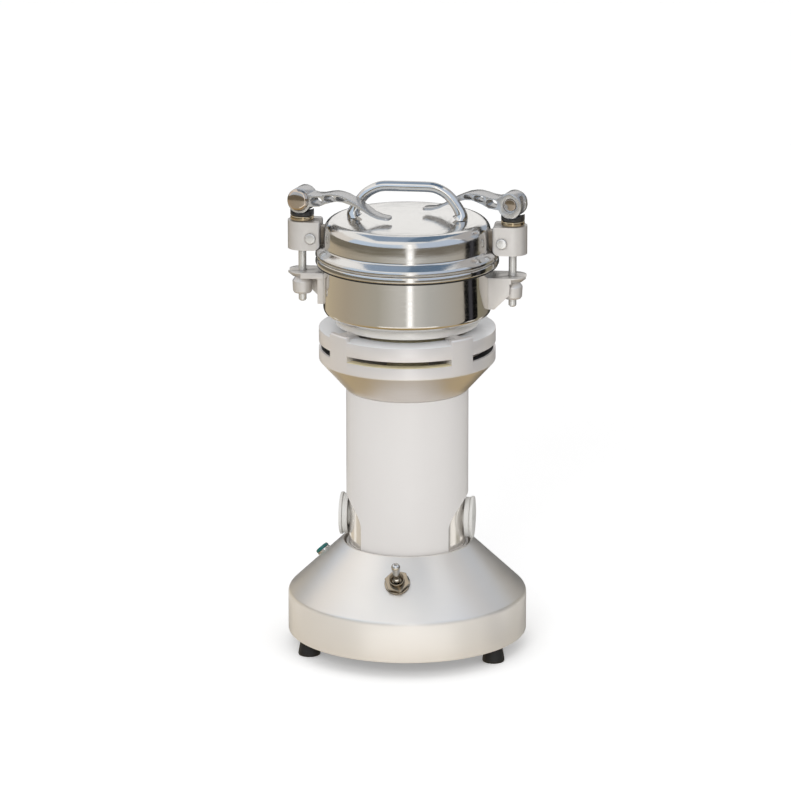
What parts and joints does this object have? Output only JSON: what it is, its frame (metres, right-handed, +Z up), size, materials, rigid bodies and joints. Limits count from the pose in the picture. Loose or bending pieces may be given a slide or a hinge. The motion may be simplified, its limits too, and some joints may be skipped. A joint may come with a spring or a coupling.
{
  "type": "laboratory grinder",
  "caption": "Bench-top grinder: motor column on a round base, vented collar, steel bowl with cutters and a handled lid held down by cam-lever clamps.",
  "frame": {"origin": "on the table, on the axis of the motor column", "axes": "+Z up along the motor shaft, -Y towards the front with the toggle switch, +X towards the right clamp"},
  "size_m": [0.1836, 0.1867, 0.3655],
  "materials": {
    "satin_aluminium": "satin turned",
    "column_paint": "satin",
    "polished_steel": "polished",
    "brushed_steel": "brushed",
    "cast_alloy": "as cast",
    "nickel": "plated",
    "brass": "turned",
    "copper": "varnished",
    "core_steel": "laminated",
    "rubber": "matt",
    "black_plastic": "matt",
    "white_plastic": "matt",
    "carbon": "matt",
    "green_lens": "gloss"
  },
  "bodies": {
    "stand": {"base_shell": "satin_aluminium", "base_plate": "black_plastic", "foot_front_left": "rubber", "foot_front_right": "rubber", "foot_rear": "rubber", "cable_inlet": "black_plastic", "power_switch": "nickel", "switch_nut": "nickel", "indicator_bezel": "polished_steel", "indicator_lens": "green_lens", "column_shell": "column_paint", "motor_sleeve": "polished_steel", "brush_holder_left": "white_plastic", "brush_holder_right": "white_plastic", "brush_cap_left": "nickel", "brush_cap_right": "nickel", "carbon_brush_left": "carbon", "carbon_brush_right": "carbon", "lower_end_shield": "cast_alloy", "upper_end_shield": "cast_alloy", "lower_bearing": "polished_steel", "upper_bearing": "polished_steel", "stator_core": "core_steel", "field_winding": "copper", "vented_collar": "satin_aluminium", "bowl_seat": "satin_aluminium", "bowl": "brushed_steel", "shaft_seal": "rubber", "lug_left": "cast_alloy", "lug_right": "cast_alloy"},
    "toggle": {"toggle_lever": "polished_steel"},
    "rotor": {"drive_shaft": "polished_steel", "commutator": "copper", "armature_winding_lower": "copper", "armature_core": "core_steel", "armature_winding_upper": "copper", "cooling_fan": "white_plastic", "lower_blade": "polished_steel", "blade_spacer": "polished_steel", "upper_blade": "polished_steel", "blade_nut": "polished_steel"},
    "lid_group": {"lid": "brushed_steel", "gasket": "rubber", "handle": "polished_steel", "swivel_block_left": "cast_alloy", "swivel_block_right": "cast_alloy", "pivot_pin_left": "polished_steel", "pivot_pin_right": "polished_steel", "saddle_left": "brass", "saddle_right": "brass", "cam_pad_left": "black_plastic", "cam_pad_right": "black_plastic"},
    "rod_group_left": {"draw_rod_left": "polished_steel", "cross_pin_left": "brass"},
    "rod_group_right": {"draw_rod_right": "polished_steel", "cross_pin_right": "brass"},
    "lever_group_left": {"cam_lever_left": "cast_alloy"},
    "lever_group_right": {"cam_lever_right": "cast_alloy"},
    "nut_group_left": {"clamp_nut_left": "cast_alloy"},
    "nut_group_right": {"clamp_nut_right": "cast_alloy"}
  },
  "joints": [
    {"name": "rotor_spin", "type": "hinge", "parent": "stand", "child": "rotor", "pos_m": [0, 0, 0.2], "axis": [0, 0, 1], "continuous": true},
    {"name": "toggle_switch", "type": "hinge", "parent": "stand", "child": "toggle", "pos_m": [0, -0.07031, 0.07127], "axis": [1, 0, 0], "range_deg": [0, 26]},
    {"name": "lid_lift", "type": "slide", "parent": "stand", "child": "lid_group", "axis": [0, 0, 1], "range_m": [0, 0.08]},
    {"name": "rod_drop_left", "type": "slide", "parent": "lid_group", "child": "rod_group_left", "axis": [0, 0, -1], "range_m": [0, 0.002]},
    {"name": "rod_drop_right", "type": "slide", "parent": "lid_group", "child": "rod_group_right", "axis": [0, 0, -1], "range_m": [0, 0.002]},
    {"name": "lever_left", "type": "hinge", "parent": "rod_group_left", "child": "lever_group_left", "pos_m": [-0.0803, 0, 0.3503], "axis": [-0.2588, -0.9659, 0], "range_deg": [0, 110]},
    {"name": "lever_right", "type": "hinge", "parent": "rod_group_right", "child": "lever_group_right", "pos_m": [0.0803, 0, 0.3503], "axis": [0.2588, 0.9659, 0], "range_deg": [0, 110]},
    {"name": "nut_drop_left", "type": "slide", "parent": "stand", "child": "nut_group_left", "axis": [0, 0, -1], "range_m": [0, 0.002]},
    {"name": "nut_drop_right", "type": "slide", "parent": "stand", "child": "nut_group_right", "axis": [0, 0, -1], "range_m": [0, 0.002]}
  ],
  "couplings": [
    {"joint": "lever_left", "follows": "rod_drop_left", "rad_per_m": 959.9},
    {"joint": "nut_drop_left", "follows": "rod_drop_left", "ratio": 1},
    {"joint": "lever_right", "follows": "rod_drop_right", "rad_per_m": 959.9},
    {"joint": "nut_drop_right", "follows": "rod_drop_right", "ratio": 1}
  ]
}
